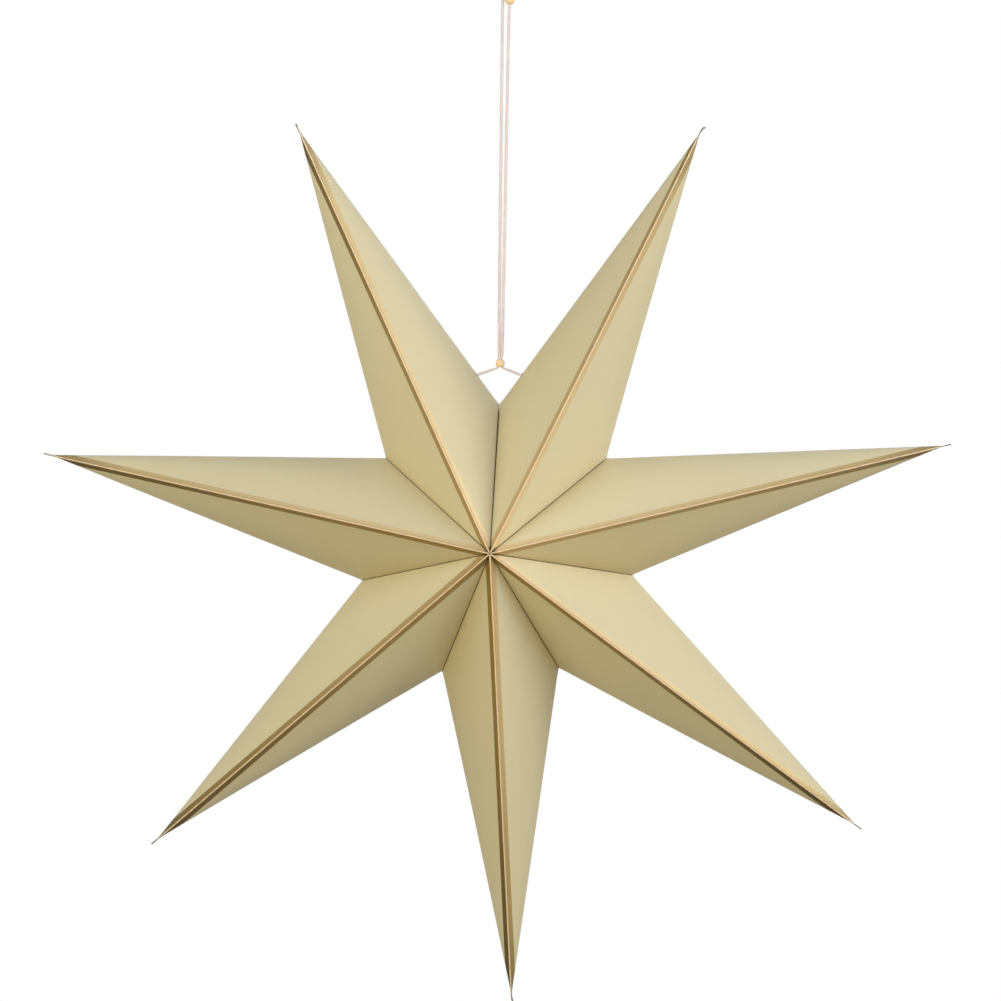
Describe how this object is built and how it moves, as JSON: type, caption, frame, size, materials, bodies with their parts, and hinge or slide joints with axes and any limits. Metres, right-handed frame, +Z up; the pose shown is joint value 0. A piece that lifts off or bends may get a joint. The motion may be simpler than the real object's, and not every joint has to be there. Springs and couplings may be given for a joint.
{
  "type": "folded card hanging star",
  "caption": "Hanging star of creased card leaves glued at their ridges and valleys, with foil-lined ridges, drawn shut by a doubled cord with wooden beads.",
  "frame": {"origin": "crown of the hanging loop, on the inside where a hook bears, straight above the star's centre", "axes": "+Z up along the cord, +X to the viewer's right, -Y towards the viewer in front of the star"},
  "size_m": [0.6851, 0.1802, 0.8066],
  "materials": {
    "card": "matte",
    "bead_wood": "satin",
    "cord_cotton": "matte"
  },
  "bodies": {
    "root": {"point_1_leaf_a": "card", "point_1_leaf_b": "card", "point_2_leaf_a": "card", "point_2_leaf_b": "card", "point_3_leaf_a": "card", "point_3_leaf_b": "card", "point_4_leaf_a": "card", "point_4_leaf_b": "card", "point_5_leaf_a": "card", "point_5_leaf_b": "card", "point_6_leaf_a": "card", "point_6_leaf_b": "card", "point_7_leaf_a": "card", "point_7_leaf_b": "card", "star_bead": "bead_wood", "top_bead": "bead_wood", "hanging_cord": "cord_cotton"}
  },
  "joints": []
}
